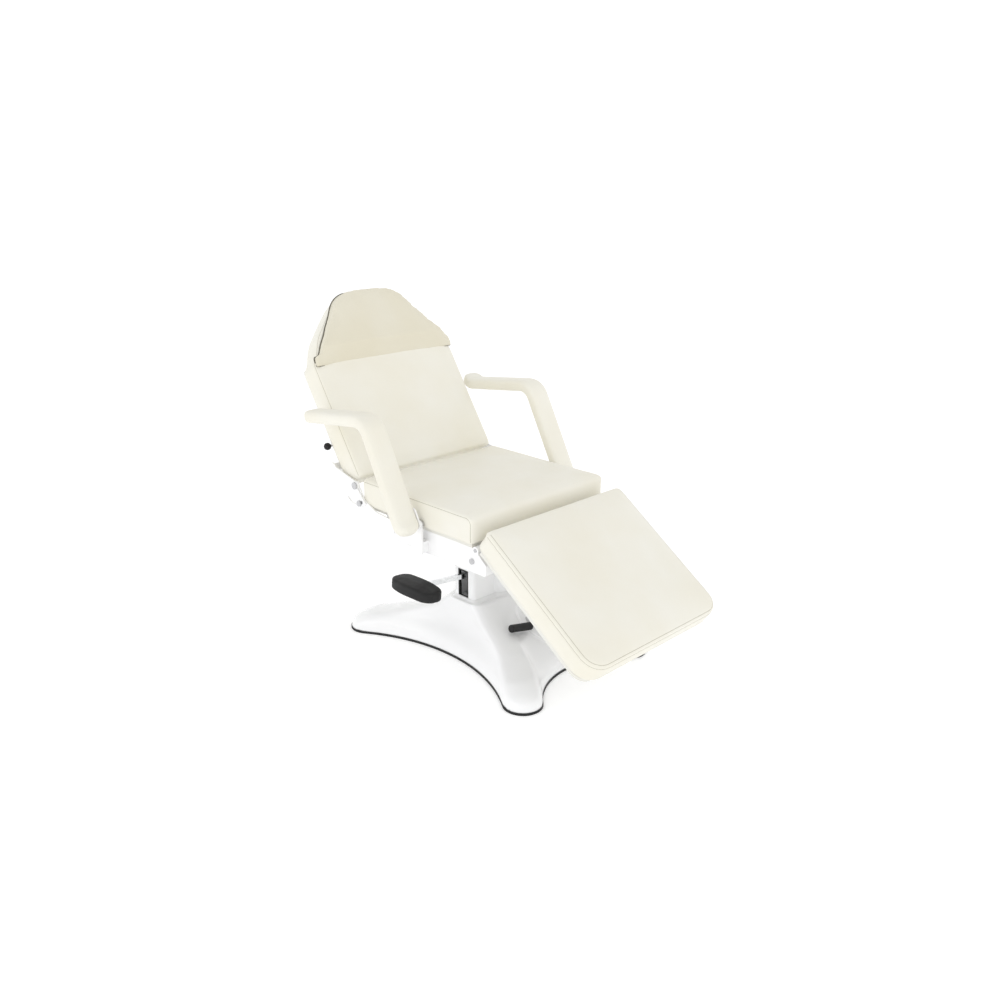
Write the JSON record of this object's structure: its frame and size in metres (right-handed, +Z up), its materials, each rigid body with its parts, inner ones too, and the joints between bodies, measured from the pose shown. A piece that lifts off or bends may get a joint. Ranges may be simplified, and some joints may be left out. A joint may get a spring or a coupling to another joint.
{
  "type": "facial treatment bed",
  "caption": "Swivelling treatment bed with a hydraulic pedal lift on a lobed base, reclining back with head pillow, tilting leg rest and folding armrests.",
  "frame": {"origin": "on the floor under the column axis", "axes": "+Z up, -Y towards the foot end, +Y towards the head end, -X is the sitting person's right"},
  "size_m": [0.808, 1.4532, 1.134],
  "materials": {
    "upholstery": "matte cream vinyl, fine grain",
    "head_upholstery": "matte cream vinyl, fine grain",
    "white_enamel": "gloss white enamel",
    "white_frame": "satin white powder coat",
    "black_rubber": "matte black rubber",
    "black_plastic": "satin black plastic",
    "chrome_steel": "polished chrome",
    "bare_steel": "zinc plated",
    "plate_steel": "black painted plate",
    "board_cover": "off-white backing cloth over plywood"
  },
  "bodies": {
    "base": {"base_plate": "plate_steel", "floor_trim": "black_rubber", "base_shell": "white_enamel", "pump_body": "white_frame", "pump_cover": "white_enamel", "slot_liner": "black_rubber", "column_seal": "black_rubber", "pedal_pin": "bare_steel", "lock_lever_bush": "bare_steel"},
    "lift": {"ram": "chrome_steel", "head_collar": "white_frame", "ram_cap": "bare_steel"},
    "pedal": {"pedal_arm": "chrome_steel", "pedal_pad": "black_plastic"},
    "lock_lever": {"lock_lever_rod": "bare_steel", "lock_lever_grip": "black_plastic"},
    "seat_frame": {"mount_plate": "white_frame", "cross_tube_front": "white_frame", "cross_tube_rear": "white_frame", "rail_left": "white_frame", "rail_right": "white_frame", "seat_board": "board_cover", "seat_cushion": "upholstery", "hinge_spacers": "white_frame", "seat_hinge_left": "white_frame", "seat_hinge_right": "white_frame", "back_pins": "bare_steel", "back_lock_bolts": "bare_steel", "leg_pins": "bare_steel", "leg_lock_bolts": "bare_steel", "arm_bracket_left": "white_frame", "arm_bracket_right": "white_frame", "arm_bolts": "bare_steel"},
    "backrest": {"back_cushion": "upholstery", "back_board": "board_cover", "head_pillow": "head_upholstery", "back_tube_left": "white_frame", "back_tube_right": "white_frame", "back_cross_low": "white_frame", "back_cross_high": "white_frame", "back_hinge_left": "white_frame", "back_hinge_right": "white_frame", "release_stud": "bare_steel"},
    "release": {"release_lever": "bare_steel", "release_knob": "black_plastic"},
    "leg_rest": {"leg_cushion": "upholstery", "leg_board": "board_cover", "leg_tube_left": "white_frame", "leg_tube_right": "white_frame", "leg_cross_near": "white_frame", "leg_cross_far": "white_frame", "leg_lug_left": "white_frame", "leg_lug_right": "white_frame"},
    "arm_left": {"armrest_left": "upholstery", "arm_plate_left": "white_frame"},
    "arm_right": {"armrest_right": "upholstery", "arm_plate_right": "white_frame"}
  },
  "joints": [
    {"name": "column_lift", "type": "slide", "parent": "base", "child": "lift", "axis": [0, 0, 1], "range_m": [0, 0.16]},
    {"name": "seat_swivel", "type": "hinge", "parent": "lift", "child": "seat_frame", "pos_m": [0, 0, 0.386], "axis": [0, 0, 1], "continuous": true},
    {"name": "pedal_press", "type": "hinge", "parent": "base", "child": "pedal", "pos_m": [-0.1, 0, 0.27], "axis": [0, -1, 0], "range_deg": [0, 20], "stiffness_Nm_per_rad": 9, "springref_deg": -20.05},
    {"name": "lock_lever_turn", "type": "hinge", "parent": "base", "child": "lock_lever", "pos_m": [0.005, -0.15, 0.117], "axis": [0, 1, 0], "range_deg": [0, 35]},
    {"name": "back_recline", "type": "hinge", "parent": "seat_frame", "child": "backrest", "pos_m": [0, 0.335, 0.543], "axis": [1, 0, 0], "range_deg": [-57, 13]},
    {"name": "release_pull", "type": "hinge", "parent": "backrest", "child": "release", "pos_m": [-0.243, 0.49779, 0.64123], "axis": [0, -0.8387, 0.5446], "range_deg": [-14, 0], "stiffness_Nm_per_rad": 0.6, "springref_deg": 14.32},
    {"name": "leg_tilt", "type": "hinge", "parent": "seat_frame", "child": "leg_rest", "pos_m": [0, -0.2115, 0.462], "axis": [-1, 0, 0], "range_deg": [-8, 35.1]},
    {"name": "arm_left_swing", "type": "hinge", "parent": "seat_frame", "child": "arm_left", "pos_m": [0.35, 0.012, 0.493], "axis": [-1, 0, 0], "range_deg": [0, 60]},
    {"name": "arm_right_swing", "type": "hinge", "parent": "seat_frame", "child": "arm_right", "pos_m": [-0.35, 0.012, 0.493], "axis": [-1, 0, 0], "range_deg": [0, 60]}
  ]
}
